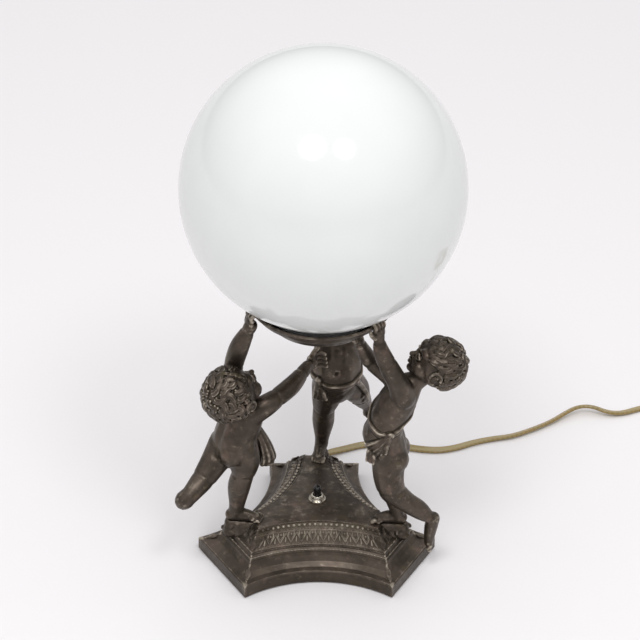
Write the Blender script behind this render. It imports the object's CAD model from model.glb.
"""Figural table lamp: the looks of the cast figures, base, dish, globe, switch and cord."""

from math import acos, atan2, cos, pi, radians, sin, sqrt, tau
from random import Random

import bmesh
import bpy
import numpy as np
from mathutils import Matrix, Vector
from mathutils.bvhtree import BVHTree


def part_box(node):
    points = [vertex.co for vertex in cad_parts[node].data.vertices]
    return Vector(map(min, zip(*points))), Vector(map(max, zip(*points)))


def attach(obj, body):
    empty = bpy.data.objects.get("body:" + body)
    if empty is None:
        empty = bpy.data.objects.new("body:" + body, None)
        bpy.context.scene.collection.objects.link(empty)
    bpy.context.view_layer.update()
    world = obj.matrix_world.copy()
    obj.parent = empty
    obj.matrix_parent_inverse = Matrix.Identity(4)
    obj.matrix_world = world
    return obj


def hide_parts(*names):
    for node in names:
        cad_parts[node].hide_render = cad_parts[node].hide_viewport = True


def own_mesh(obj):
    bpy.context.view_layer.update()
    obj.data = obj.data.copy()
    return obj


bl_info = {
    "name": "Figural Table Lamp",
    "version": (1, 0, 0),
    "blender": (4, 5, 0),
    "location": "View3D > Sidebar > Table Lamp",
    "description": "Builds the finish of a figural table lamp around its packed parts",
    "category": "Object",
}

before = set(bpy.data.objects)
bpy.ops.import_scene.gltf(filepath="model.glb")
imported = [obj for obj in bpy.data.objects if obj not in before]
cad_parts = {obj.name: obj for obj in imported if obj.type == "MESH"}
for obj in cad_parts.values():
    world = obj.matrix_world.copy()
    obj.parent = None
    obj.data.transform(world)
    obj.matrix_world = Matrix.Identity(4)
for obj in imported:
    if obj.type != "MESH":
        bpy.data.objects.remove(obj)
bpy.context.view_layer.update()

MM = 0.001
LAMP = "lamp"
UP = Vector((0, 0, 1))


# ------------------------------------------------------------------ settings
def length_setting(name, description, default):
    return bpy.props.FloatProperty(name=name, description=description, default=default, unit="LENGTH")


def colour_setting(name, description, default):
    return bpy.props.StringProperty(name=name, description=description, default=default)


class LampSizes(bpy.types.PropertyGroup):
    globe_radius: length_setting("Globe radius", "Outer radius of the opal glass ball", 0.1016)
    globe_height: length_setting("Globe height", "Height of the ball's middle over the table", 0.310)
    top_plate: length_setting("Top plate height", "Height of the base's top plate", 0.0376)
    cord_width: length_setting("Cord width", "Width of the flat twin cord", 0.0056)
    cord_length: length_setting("Cord length", "Length of the free cord from bushing to plug", 1.77)
    push_travel: length_setting("Push travel", "Way of the push button from rest to its stop", 0.003)
    clay_grain: bpy.props.FloatProperty(
        name="Figure grain", description="Mesh size of the figures' bodies in millimetres",
        default=0.57, min=0.3, max=3.0,
    )
    pearls: bpy.props.IntProperty(
        name="Pearls", description="Pearls along one hollow side of the base", default=22, min=4,
    )


class LampColours(bpy.types.PropertyGroup):
    patina: colour_setting("Patina", "Dark brown-grey patina of the casting", "#463E36")
    rubbed: colour_setting("Rubbed metal", "Lighter metal where edges are rubbed", "#B9AE9E")
    grime: colour_setting("Grime", "Brown-green dirt in the hollows", "#2A2418")
    opal: colour_setting("Opal glass", "White opal glass of the globe", "#EEF0EF")
    vinyl: colour_setting("Cord vinyl", "Clear gold vinyl of the cord", "#A8986A")
    floor: colour_setting("Table", "Pale table top", "#F5F3F4")


def sizes():
    return bpy.context.scene.lamp_sizes


def colours():
    return bpy.context.scene.lamp_colours


def hex_colour(text):
    """Linear RGBA of an sRGB hex value."""
    channels = [int(text[i : i + 2], 16) / 255 for i in (1, 3, 5)]
    linear = [c / 12.92 if c <= 0.04045 else ((c + 0.055) / 1.055) ** 2.4 for c in channels]
    return (*linear, 1.0)


# ----------------------------------------------------------------- materials
BLEND = {"data_type": "RGBA", "blend_type": "MIX"}
SMOOTH = {"interpolation_type": "SMOOTHSTEP"}
TIMES = {"operation": "MULTIPLY"}


def add_node(tree, kind, settings=None, out=0, **inputs):
    """Adds a node and gives one of its outputs; settings are its own values, and inputs are
    values, hex colours or links for its sockets, by name or as i with a number."""
    node = tree.nodes.new(f"ShaderNode{kind}")
    for key, value in (settings or {}).items():
        setattr(node, key, value)
    for key, value in inputs.items():
        socket = node.inputs[int(key[1:]) if key[1:].isdigit() else key.replace("_", " ")]
        if isinstance(value, bpy.types.NodeSocket):
            tree.links.new(value, socket)
        else:
            socket.default_value = hex_colour(value) if isinstance(value, str) else value
    return node.outputs[out] if len(node.outputs) else None


def new_material(name):
    material = bpy.data.materials.new(name)
    material.use_nodes = True
    material.node_tree.nodes.clear()
    return material, material.node_tree


def finish_material(material, **inputs):
    """Ends a material in one principled shader with these inputs."""
    shader = add_node(material.node_tree, "BsdfPrincipled", **inputs)
    add_node(material.node_tree, "OutputMaterial", Surface=shader)
    return material


def speckle(tree, millimetres, detail=4.0, rough=0.55):
    """Noise on the object's own coordinates, its lumps about that many millimetres across."""
    place = add_node(tree, "TexCoord", out="Object")
    scale = 1.0 / (millimetres * MM)
    return add_node(tree, "TexNoise", out="Fac", Vector=place, Scale=scale, Detail=detail, Roughness=rough)


def patinated_spelter(name="patinated_spelter", wear=0.0):
    """Cast spelter with a dark copper patina: satin, blotchy, rubbed pale on its
    ridges and dirty in its hollows."""
    material, tree = new_material(name)
    relief = add_node(tree, "Attribute", {"attribute_name": "relief"}, "Fac")
    mottle = speckle(tree, 5.0, 6.0, 0.62)
    uneven = add_node(tree, "Math", {"operation": "SUBTRACT"}, i0=mottle, i1=0.5)
    uneven = add_node(tree, "Math", TIMES, i0=uneven, i1=0.6)
    raised = add_node(tree, "Math", {"operation": "ADD"}, i0=relief, i1=uneven)
    base = colours().patina
    for value, low, high, strength, colour in (
        (speckle(tree, 19), 0.36, 0.64, 1.0, "#5A5047"),  # lighter brown
        (speckle(tree, 12, 5.0), 0.56, 0.74, 0.55, "#79655B"),  # rosy copper
        (speckle(tree, 9, 5.0), 0.58, 0.72, 0.45, "#5C543A"),  # olive lacquer
        (mottle, 0.54, 0.78, 0.7, "#82786A"),  # dull light spots
        (relief, -0.03, -0.30, 0.9, colours().grime),  # dirt in hollows
        (raised, 0.16 - wear, 0.60 - wear, 0.9, colours().rubbed),  # ridges rubbed pale
    ):
        share = add_node(tree, "MapRange", SMOOTH, Value=value, From_Min=low, From_Max=high, To_Max=strength)
        base = add_node(tree, "Mix", BLEND, 2, i0=share, i6=base, i7=colour)
    gloss = add_node(tree, "MapRange", Value=mottle, From_Min=0.3, From_Max=0.7, To_Min=0.48, To_Max=0.30)
    pitted = add_node(tree, "Bump", Strength=0.45, Distance=0.0005, Height=mottle)
    grainy = speckle(tree, 0.8, 3.0)
    skin = add_node(tree, "Bump", Strength=0.3, Distance=0.0001, Height=grainy, Normal=pitted)
    return finish_material(material, Base_Color=base, Metallic=0.72, Roughness=gloss, Normal=skin)


def opal_glass():
    """Blown opal glass: milky white right through, with a glossy skin."""
    material, tree = new_material("opal_glass")
    colour = add_node(tree, "Mix", BLEND, 2, i0=speckle(tree, 60, 2.0), i6=colours().opal, i7="#E3E7E5")
    return finish_material(material, Base_Color=colour, Roughness=0.09, IOR=1.5)


def plated_nickel():
    """Bright nickel plate gone slightly dull, with fine turning marks."""
    material, tree = new_material("plated_nickel")
    tarnish = add_node(tree, "MapRange", SMOOTH, Value=speckle(tree, 2.5, 5.0), From_Min=0.45, From_Max=0.7)
    colour = add_node(tree, "Mix", BLEND, 2, i0=tarnish, i6="#C9C3B6", i7="#958C7C")
    marks = add_node(tree, "Bump", Strength=0.2, Distance=0.00005, Height=speckle(tree, 0.4))
    return finish_material(material, Base_Color=colour, Metallic=1.0, Roughness=0.24, Normal=marks)


def plain_metal(name, light, dark, roughness, grain):
    """Drawn, turned or plated metal: two close tones in small clouds."""
    material, tree = new_material(name)
    cloud = add_node(tree, "MapRange", SMOOTH, Value=speckle(tree, grain), From_Min=0.35, From_Max=0.7)
    colour = add_node(tree, "Mix", BLEND, 2, i0=cloud, i6=light, i7=dark)
    return finish_material(material, Base_Color=colour, Metallic=1.0, Roughness=roughness)


def moulded(name, light, dark, roughness, grain, height=0.00003):
    """Moulded or pressed material without metal: close tones and a faint texture."""
    material, tree = new_material(name)
    cloud = speckle(tree, grain)
    colour = add_node(tree, "Mix", BLEND, 2, i0=cloud, i6=light, i7=dark)
    texture = add_node(tree, "Bump", Strength=0.4, Distance=height, Height=cloud)
    return finish_material(material, Base_Color=colour, Roughness=roughness, IOR=1.5, Normal=texture)


STRAND_WAVES = 1600.0  # radians along a metre of cord: a twist of about 4 mm


def clear_gold_vinyl():
    """Clear gold vinyl over fine copper strands: glossy, and darker over each core."""
    material, tree = new_material("clear_gold_vinyl")
    strand, core = (
        add_node(tree, "Attribute", {"attribute_name": name}, "Fac") for name in ("strand", "core")
    )
    wave = add_node(tree, "Math", TIMES, i0=strand, i1=STRAND_WAVES)
    wave = add_node(tree, "Math", {"operation": "SINE"}, i0=wave)
    twist = add_node(tree, "MapRange", SMOOTH, Value=wave, From_Min=-0.9, From_Max=0.9)
    copper = add_node(tree, "Mix", BLEND, 2, i0=twist, i6="#84703F", i7="#957F4A")
    return finish_material(
        material, Base_Color=add_node(tree, "Mix", BLEND, 2, i0=core, i6=colours().vinyl, i7=copper),
        Roughness=0.18, IOR=1.53, Subsurface_Weight=0.15, Subsurface_Scale=0.002, Coat_Weight=0.4,
        Coat_Roughness=0.1,
    )


def pale_table():
    """Matte pale table top that stays its own colour to the camera."""
    material, _ = new_material("pale_table")
    return finish_material(material, Base_Color=colours().floor, Roughness=0.9)


# Two tones, roughness and grain in millimetres.
METALS = {
    "brass": ("drawn_brass", "#C9A85C", "#A8843C", 0.32, 6),  # drawn: warm soft glints
    "steel": ("zinc_plated_steel", "#B9BCC0", "#94989D", 0.35, 3),  # plated: cool cloudy grey
    "cap": ("bulb_aluminium", "#D2D3D6", "#B5B7BB", 0.3, 3),  # rolled: pale and even
}
MOULDINGS = {
    "phenolic": ("black_phenolic", "#121212", "#1C1B1A", 0.2, 2),  # pressed: deep black gloss
    "fibre": ("fibre_board", "#6E5236", "#5A412A", 0.8, 1.5),  # pressed card: dull brown
    "felt": ("black_felt", "#171615", "#262422", 0.98, 0.5, 0.0003),  # matted wool: no shine
    "frosted": ("frosted_glass", "#F2F1EC", "#E6E5DF", 0.35, 20),  # etched: soft white glow
    "vinyl_plain": ("moulded_gold_vinyl", "#A08E5C", "#8E7C4C", 0.3, 4),  # moulded: waxy gold
}
OWN_FINISHES = {
    "spelter": patinated_spelter, "dish_patina": lambda: patinated_spelter("dark_spun_brass", 0.02),
    "opal": opal_glass, "nickel": plated_nickel, "vinyl": clear_gold_vinyl,
}
made_finishes = {}


def finish_of(name):
    """Each finish is made once and then shared."""
    if name not in made_finishes:
        if name in METALS:
            made_finishes[name] = plain_metal(*METALS[name])
        elif name in MOULDINGS:
            made_finishes[name] = moulded(*MOULDINGS[name])
        else:
            made_finishes[name] = OWN_FINISHES[name]()
    return made_finishes[name]


# ---------------------------------------------------------------- shape tools
def smooth_line(stations, step):
    """Evenly spaced rows along a smooth curve through the stations; all columns follow."""
    rows = np.array(stations, float)
    if len(rows) == 2:
        rows = np.array([rows[0], (rows[0] + rows[1]) / 2, rows[1]])
    padded = np.vstack([2 * rows[0] - rows[1], rows, 2 * rows[-1] - rows[-2]])
    out = []
    for i in range(1, len(padded) - 2):
        a, b, c, d = padded[i - 1 : i + 3]
        count = max(2, int(np.linalg.norm((c - b)[:3]) / step))
        for t in np.arange(count) / count:
            curved = (2 * a - 5 * b + 4 * c - d) * t**2 + (3 * b - a - 3 * c + d) * t**3
            out.append(0.5 * (2 * b + (c - a) * t + curved))
    out.append(rows[-1])
    return np.array(out)


def ball(bm, centre, radii, axes=None, detail=2):
    """A ball, or an ellipsoid when radii has three values along the given axes."""
    if not hasattr(radii, "__len__"):
        radii = (radii,) * 3
    turn = Matrix(axes).transposed().to_4x4() if axes else Matrix.Identity(4)
    place = Matrix.Translation(Vector(centre)) @ turn @ Matrix.Diagonal((*radii, 1))
    bmesh.ops.create_icosphere(bm, subdivisions=detail, radius=1, matrix=place)


def clay(points, *radii):
    """Points with the clay's radius at each: one radius for all, or one for each."""
    return [(*p, r) for p, r in zip(points, radii * len(points) if len(radii) == 1 else radii)]


def stroke(bm, stations, axes=None, depth=1.0, detail=2, share=0.32):
    """A limb or roll of clay: balls close together along a smooth line of x, y, z, radius."""
    thinnest = min(s[3] for s in stations)
    part = bmesh.new()
    for x, y, z, radius in smooth_line(stations, max(thinnest * share, 0.25)):
        radii = (radius, radius * depth, radius) if axes else radius
        ball(part, (x, y, z), radii, axes, detail)
    merge(bm, part)


def mesh_of(bm, name="shape"):
    mesh = bpy.data.meshes.new(name)
    bm.to_mesh(mesh)
    bm.free()
    return mesh


def merge_mesh(bm, mesh):
    bm.from_mesh(mesh)
    bpy.data.meshes.remove(mesh)


def merge(bm, part):
    """Adds a finished part to a larger shape; small parts are quick to make by themselves."""
    merge_mesh(bm, mesh_of(part))


def evaluated_mesh(name, data, grain=None):
    """The data's finished mesh, its overlapping forms fused into one skin where a grain is given."""
    holder = bpy.data.objects.new(name, data)
    bpy.context.scene.collection.objects.link(holder)
    if grain:
        modifier = holder.modifiers.new("skin", "REMESH")
        modifier.mode = "VOXEL"
        modifier.voxel_size = grain
    else:
        bpy.context.view_layer.update()
    mesh = bpy.data.meshes.new_from_object(holder.evaluated_get(bpy.context.evaluated_depsgraph_get()))
    bpy.data.objects.remove(holder)
    return mesh


def remeshed(bm, grain):
    """Fuses overlapping closed forms into one skin of even small faces."""
    mesh = mesh_of(bm, "clay")
    fused = evaluated_mesh("clay", mesh, grain)
    bpy.data.meshes.remove(mesh)
    return fused


def read_points(mesh, kind):
    """A coordinate or normal of every point as rows of numbers."""
    flat = np.zeros(len(mesh.vertices) * 3, np.float32)
    mesh.vertices.foreach_get(kind, flat)
    return flat.reshape(-1, 3).astype(float)


class Skin:
    """A mesh's points as arrays, to be relaxed, pressed and read back."""

    def __init__(self, mesh):
        self.mesh = mesh
        self.points = read_points(mesh, "co")
        pairs = np.zeros(len(mesh.edges) * 2, np.int32)
        mesh.edges.foreach_get("vertices", pairs)
        self.edges = pairs.reshape(-1, 2)
        self.degree = np.maximum(np.bincount(self.edges.ravel(), minlength=len(self.points)), 1)

    def beside(self, values):
        """Mean of each point's neighbours."""
        a, b = self.edges.T
        total = np.zeros_like(values)
        for column in range(values.shape[1]):
            total[:, column] = np.bincount(a, values[b, column], len(values))
            total[:, column] += np.bincount(b, values[a, column], len(values))
        return total / self.degree[:, None]

    def relax(self, times, share=0.5, where=None):
        for _ in range(times):
            move = (self.beside(self.points) - self.points) * share
            self.points += move if where is None else move * where[:, None]

    def normals(self):
        self.write()
        return read_points(self.mesh, "normal")

    def reopened(self):
        """The shape as a bmesh again, for the next pass of modelling."""
        self.write()
        bm = bmesh.new()
        merge_mesh(bm, self.mesh)
        return bm

    def near(self, line, radius):
        """1 on the line, or at its only point, falling smoothly to 0 at the radius."""
        line = smooth_line(line, radius / 3) if len(line) > 1 else np.array(line, float)
        low, high = line[:, :3].min(0) - radius, line[:, :3].max(0) + radius
        inside = np.all((self.points > low) & (self.points < high), axis=1)
        share = np.zeros(len(self.points))
        if inside.any():
            gaps = np.linalg.norm(self.points[inside][:, None] - line[None, :, :3], axis=2).min(1)
            share[inside] = np.clip(1 - (gaps / radius) ** 2, 0, 1) ** 2
        return share

    def press(self, line, radius, depth):
        """Presses a soft groove along the line, or raises a ridge for a negative depth."""
        self.points -= self.normals() * (self.near(line, radius) * depth)[:, None]

    def write(self):
        self.mesh.vertices.foreach_set("co", self.points.astype(np.float32).ravel())
        self.mesh.update()

    def mark_relief(self, spread=2, strength=6.0):
        """Stores how far each point stands out of its surroundings, and gives the finished mesh."""
        normals = self.normals()
        lengths = np.linalg.norm(self.points[self.edges[:, 0]] - self.points[self.edges[:, 1]], axis=1)
        step = max(float(np.median(lengths)), 1e-9)
        rise = np.einsum("ij,ij->i", self.points - self.beside(self.points), normals)[:, None] / step
        for _ in range(spread):
            rise = (rise + self.beside(rise)) / 2
        store_value(self.mesh, "relief", rise[:, 0] * strength)
        return self.mesh


def store_value(mesh, name, values):
    attribute = mesh.attributes.get(name) or mesh.attributes.new(name, "FLOAT", "POINT")
    attribute.data.foreach_set("value", np.asarray(values, np.float32))


def mark_sharp(bm, angle=32.0):
    """Keeps edges crisp where two faces meet at more than the angle."""
    for edge in bm.edges:
        edge.smooth = not (edge.is_manifold and edge.calc_face_angle(0) > radians(angle))


def place_piece(name, mesh, finish, replaces=(), body=LAMP, scale=MM):
    """Makes the finished piece at the origin, riding on its body; an empty mesh is an error."""
    if not mesh.polygons:
        raise RuntimeError(f"{name} came out empty")
    mesh.transform(Matrix.Scale(scale, 4))
    mesh.polygons.foreach_set("use_smooth", [True] * len(mesh.polygons))
    mesh.materials.clear()
    mesh.materials.append(finish_of(finish))
    mesh.update()
    piece = bpy.data.objects.new(name, mesh)
    bpy.context.scene.collection.objects.link(piece)
    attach(piece, body)
    if replaces:
        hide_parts(*replaces)
    return piece


def closed_ring(bm, verts):
    return [bm.edges.new((verts[i], verts[(i + 1) % len(verts)])) for i in range(len(verts))]


def skinned(bm, rings, cap):
    """Joins rings of edges one after the other and closes both ends."""
    for lower, upper in zip(rings, rings[1:]):
        bmesh.ops.bridge_loops(bm, edges=lower + upper)
    for ring in (rings[0], rings[-1]):
        cap(bm, ring)
    bmesh.ops.recalc_face_normals(bm, faces=bm.faces)


def turned(outline, steps, soft=0.0):
    """A shape turned about the vertical axis from a closed outline of (radius, height)."""
    bm = bmesh.new()
    corners = [bm.verts.new((r, 0, z)) for r, z in outline]
    edges = [e for e in closed_ring(bm, corners) if any(abs(v.co.x) > 1e-7 for v in e.verts)]
    bmesh.ops.spin(
        bm, geom=corners + edges, cent=(0, 0, 0), axis=(0, 0, 1), angle=tau, steps=steps, use_merge=True
    )
    bmesh.ops.remove_doubles(bm, verts=bm.verts, dist=1e-4)
    loose = [e for e in bm.edges if not e.link_faces]
    bmesh.ops.delete(bm, geom=loose, context="EDGES")
    bmesh.ops.recalc_face_normals(bm, faces=bm.faces)
    if soft:
        sharp = [e for e in bm.edges if e.is_manifold and e.calc_face_angle(0) > radians(24)]
        bmesh.ops.bevel(
            bm, geom=sharp, offset=soft, offset_type="OFFSET", segments=3, profile=0.5,
            affect="EDGES", material=-1, clamp_overlap=True,
        )
    return bm


def thin_rod(bm, points, radius):
    """A thin raised line: short rods with a small ball at each turn."""
    points = [Vector(p) for p in points]
    part = bmesh.new()
    for a, b in zip(points, points[1:]):
        way = b - a
        place = Matrix.Translation((a + b) / 2) @ way.to_track_quat("Z", "Y").to_matrix().to_4x4()
        ends = {"radius1": radius, "radius2": radius, "depth": way.length}
        bmesh.ops.create_cone(part, cap_ends=True, segments=6, matrix=place, **ends)
    for p in points:
        ball(part, p, radius * 1.04, detail=1)
    merge(bm, part)


# ------------------------------------------------------------------- figures
# Joints in millimetres: x, y, z and the flesh radius there.
LEFT = {
    "name": "left",
    "standing_leg": (
        (-56.5, -22, 104, 12.2), (-54.3, -23, 91, 11.6), (-56, -24, 79.5, 9), (-58.6, -23, 67.5, 8.9),
        (-60, -23, 52, 6.4), (-61, -23, 44, 6),
    ),
    "standing_foot": ((-64.5, -23, 41.8, 4.6), (-55, -24, 42, 4.9), (-46.5, -25, 40.4, 3.4)),
    "toe_way": (1, -0.12, 0),
    "free_leg": (
        (-69, -14.5, 100, 12.8), (-77, -22, 88.5, 10.8), (-85, -31, 80, 9), (-90.5, -38, 76.5, 7.8),
        (-95, -42.5, 73, 7),
    ),
    "free_foot": ((-95, -41.5, 73, 6.8), (-98.8, -42.6, 69, 7.2), (-98.2, -34, 63.5, 4)),
    "free_toe_way": (0.05, 0.86, -0.5),
    "torso": (
        (-62.5, -18.5, 97, 14.2), (-62.5, -18.5, 104, 18), (-60.5, -17.5, 113, 17.2),
        (-57, -15.5, 123, 17.6), (-54.5, -14.5, 132, 15.4), (-55.5, -15, 139, 9.4),
    ),
    "raised_arm": (
        (-58, -7.5, 130, 9), (-63.5, -6.5, 148, 8), (-62.5, -11, 168, 7.6), (-58.5, -15, 186, 7.6),
        (-52.5, -16.5, 201, 5.4), (-50.5, -17.2, 206, 5.4),
    ),
    "other_arm": (
        (-47, -20.5, 133, 9.4), (-39.5, -20, 138, 8.6), (-31, -14.5, 141.4, 7.4), (-20.5, -5, 145.2, 7.2),
        (-13, 6, 148.2, 5.6), (-8.5, 14.5, 149, 4.8),
    ),
    "neck_base": (-57, -16, 137),
    "head": (-64.5, -26.5, 153),
    "head_size": 1.14,
    "gaze": (0.55, 0.45, 0.62),
    "crown": (-0.45, -0.45, 0.75),
    "front": (0.82, 0.57, 0),
    "curl": 21,
}
RIGHT = {
    "name": "right",
    "standing_leg": (
        (51.5, -20, 100, 13), (52.5, -22, 85, 11), (53.5, -25, 72.5, 8.8), (56, -26, 62, 8.4),
        (58, -27, 51, 6.2), (59, -27, 43.5, 5.6),
    ),
    "standing_foot": ((62, -27, 41.8, 4.6), (53, -26.5, 42.2, 4.9), (45, -26, 40.4, 3.4)),
    "toe_way": (-1, 0.06, 0),
    "free_leg": (
        (51.5, -31, 102, 13.4), (50.5, -34, 89, 12.2), (53.5, -36.5, 74.5, 10.4), (63, -37, 64.5, 8.2),
        (73, -36.5, 56.5, 7.6), (80, -36, 50, 5.6),
    ),
    "free_foot": ((84.6, -35.4, 47, 5.4), (83.2, -34, 35, 4.9), (82.3, -32.6, 22.4, 3.4)),
    "free_toe_way": (-0.12, 0.12, -1),
    "torso": (
        (51, -25.5, 95, 13), (50.3, -26, 104, 17), (46.8, -27, 120, 17), (49.5, -26, 133, 15.6),
        (56, -25, 146, 15.8), (62.5, -24.5, 156, 12.4), (66, -24, 161.5, 8),
    ),
    "raised_arm": (
        (59.5, -33.5, 155, 9.2), (54.5, -36, 170, 8), (46.5, -37, 187, 7.2), (42, -37, 198.5, 6),
        (40.5, -36.6, 206, 4.7), (40, -36.4, 210, 4.8),
    ),
    "other_arm": (
        (59, -15, 152, 8.6), (49, -11, 159, 7.2), (37, -10, 170, 6.6), (31.5, -12, 180, 5.8),
        (28, -14.5, 189.5, 4.4), (26.4, -15.6, 194.2, 4.6),
    ),
    "neck_base": (66, -24, 161),
    "head": (84.8, -22.5, 176.4),
    "head_size": 1.08,
    "gaze": (-0.8, 0.1, 0.55),
    "crown": (0.55, 0, 0.8),
    "front": (-1, 0.1, 0),
    "curl": 5,
}
REAR = {
    "name": "rear",
    "standing_leg": (
        (8.5, 51.5, 107, 13.2), (7.5, 54, 95, 11.8), (5.8, 57, 82, 9), (5.6, 61, 67, 8.8),
        (5, 62, 51.5, 6), (4.6, 62.5, 43.5, 5.7),
    ),
    "standing_foot": ((4.6, 65, 41.8, 4.6), (3.2, 57.5, 42.2, 4.9), (2, 50.5, 40.4, 3.4)),
    "toe_way": (-0.16, -1, 0),
    "free_leg": (
        (22, 55, 107.5, 13.2), (29, 61, 97, 11.4), (32.5, 67, 87, 8.8), (35.5, 75, 77, 7.4),
        (38.5, 81.5, 68, 5.4),
    ),
    "free_foot": ((38, 81, 69.5, 4.9), (40.5, 84, 62.5, 4.6), (41.5, 83.5, 56.5, 3.5)),
    "free_toe_way": (0.1, 0.1, -1),
    "torso": (
        (13.5, 52, 105, 14.5), (14, 50.5, 114.5, 18.2), (14, 48, 129.5, 19), (14, 52, 145, 16.8),
        (14, 57, 156, 14), (13.5, 60, 163.5, 8.4),
    ),
    "raised_arm": (
        (1, 56, 154.5, 8.8), (-9.5, 56.5, 168, 7.2), (-17.5, 55, 183, 6.6), (-21, 52.5, 197, 5.4),
        (-21.8, 50.5, 205.5, 4.6), (-21.6, 49.6, 210, 4.7),
    ),
    "other_arm": (
        (26.5, 57, 154.5, 8.8), (37, 57.5, 168, 7.2), (41, 54.5, 183, 6.6), (39.5, 49.5, 197, 5.4),
        (36.8, 45, 205.5, 4.6), (35.6, 42.8, 210, 4.7),
    ),
    "neck_base": (13.5, 60, 162),
    "head": (13.5, 72, 175),
    "head_size": 1,
    "gaze": (0, -0.8, 0.6),
    "crown": (0, 0.62, 0.78),
    "front": (0, -1, 0),
    "curl": 33,
}
TORSO_DEPTH = 0.88  # a torso's depth over its width
HEAD_GRAIN = 0.38
ANKLE_REACH = 9.5
FOOT_REACH = 21
TOES = ((4.4, 1.9), (4.6, 1.45), (4.2, 1.4), (3.7, 1.35), (3.0, 1.3))  # length and thickness
FINGERS = (0.92, 1.0, 0.97, 0.82)  # how long each is against the longest


def side_of(figure):
    """Level direction across the figure's shoulders, towards its left side."""
    return UP.cross(Vector(figure["front"])).normalized()


def add_torso(bm, figure):
    """Round belly, ribs, shoulder blades and buttocks over one smooth core."""
    front = Vector(figure["front"]).normalized()
    side = side_of(figure)
    axes = (side, front, UP)
    stroke(bm, figure["torso"], axes, TORSO_DEPTH, share=0.2)
    hips = Vector(figure["torso"][1][:3])
    belly = Vector(figure["torso"][2][:3])
    ribs = Vector(figure["torso"][3][:3])
    ball(bm, belly + front * 4.2 - UP * 1.0, (13.6, 12.4, 12.6), axes)
    for hand in (1, -1):
        ball(bm, hips + side * hand * 7.6 - front * 7.2 - UP * 3.6, (9.6, 9.2, 10.0), axes)
        ball(bm, ribs + side * hand * 6.6 + front * 7.4 + UP * 3.0, (7.4, 5.2, 5.6), axes)
        ball(bm, ribs + side * hand * 7.0 - front * 8.2 + UP * 4.6, (5.8, 4.0, 8.0), axes)


def add_limbs(bm, figure):
    for name in ("standing_leg", "free_leg", "raised_arm", "other_arm"):
        stroke(bm, figure[name])
    for name in ("standing_leg", "free_leg"):
        knee = figure[name][2]
        ball(bm, Vector(knee[:3]) + Vector(figure["front"]) * 2.2, knee[3] * 0.82)
    base, head = Vector(figure["neck_base"]), Vector(figure["head"])
    stroke(bm, clay((base, base.lerp(head, 0.55)), 8.4, 7.4))


def add_foot(bm, stations, toe_way, sole):
    """Heel, arch and ball of a foot with five toes; sole points down through it."""
    stroke(bm, stations)
    along = Vector(toe_way).normalized()
    down = (Vector(sole) - along * Vector(sole).dot(along)).normalized()
    across = along.cross(down)
    end = Vector(stations[-1][:3])
    width = stations[-1][3]
    ball(bm, end - along * 1.5, (width * 1.15, width * 1.5, width * 0.85), (along, across, -down))
    for i, (length, thick) in enumerate(TOES):
        root = end + across * (2 - i) * 1.9 * width / 3.4 + down * (width - thick) * 0.75
        knuckle = root + along * length * 0.55 - down * 0.8
        toe = clay((root, knuckle, root + along * length + down * 0.3), thick, thick * 1.02, thick * 0.92)
        stroke(bm, toe, share=0.45)


def add_hand(bm, wrist, fingers, spread, palm_face, curl, length=8.6):
    """A small closed hand: palm, four fingers that curl towards palm_face, and a thumb."""
    reach = Vector(fingers).normalized()
    face = Vector(palm_face)
    face = (face - reach * face.dot(reach)).normalized()
    row = Vector(spread)
    row = (row - reach * row.dot(reach) - face * row.dot(face)).normalized()
    palm = Vector(wrist) + reach * 4.0
    ball(bm, palm, (5.6, 5.0, 3.0), (row, reach, face))
    for i, grow in enumerate(FINGERS):
        root = palm + row * (i - 1.5) * 2.9 + reach * 3.2
        long = length * grow
        middle = root + reach * long * 0.45 - face * 0.6
        joint = root + reach * long * 0.8 + face * long * curl * 0.25
        tip = root + reach * long * (0.95 - 0.25 * curl) + face * long * curl * 0.62
        stroke(bm, clay((root, middle, joint, tip), 1.75, 1.7, 1.55, 1.35), share=0.4)
    thumb = palm - row * 5.2 - reach * 1.6
    tip = thumb - row * 2.2 + reach * 4.6 + face * 1.8
    stroke(bm, clay((thumb, (thumb + tip) / 2 - row * 0.8, tip), 2.2, 1.9, 1.5), share=0.4)


def rim_hand(bm, arm):
    """A hand under the dish, its fingers together and bent over the rolled rim."""
    wrist = Vector(arm[-1][:3])
    out = Vector((wrist.x, wrist.y, 0)).normalized()
    round_rim = UP.cross(out)
    add_hand(bm, wrist - UP * 1.0 + out * 1.2, UP - out * 0.10, round_rim, -out, 0.55, 6.4)


def shape_figure(figure, extras):
    """Builds one figure's body in two passes: soft flesh first, then hands, feet and cloth."""
    grain = sizes().clay_grain
    bm = bmesh.new()
    add_torso(bm, figure)
    add_limbs(bm, figure)
    skin = Skin(remeshed(bm, grain))
    skin.relax(18)
    model_flesh(skin, figure)
    skin.relax(4)
    bm = skin.reopened()
    extras(bm, BVHTree.FromBMesh(bm))
    add_foot(bm, figure["standing_foot"], figure["toe_way"], -UP)
    shin = Vector(figure["free_leg"][-1][:3]) - Vector(figure["free_leg"][-2][:3])
    add_foot(bm, figure["free_foot"], figure["free_toe_way"], shin.normalized())
    skin = Skin(remeshed(bm, grain))
    skin.relax(2, 0.45)
    ankles = sum(skin.near((figure[leg][-1][:3],), ANKLE_REACH) for leg in ("standing_leg", "free_leg"))
    skin.relax(24, 0.5, np.clip(ankles * 1.8, 0, 1))
    stand = np.array(figure["standing_foot"])[:, :3].mean(0)
    near_foot = np.linalg.norm((skin.points - stand)[:, :2], axis=1) < FOOT_REACH
    sole = sizes().top_plate / MM + 0.05
    low = near_foot & (skin.points[:, 2] < sole) & (skin.points[:, 2] > sole - 6.05)
    skin.points[low, 2] = sole
    return skin.mark_relief(3, 5.0)


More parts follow.
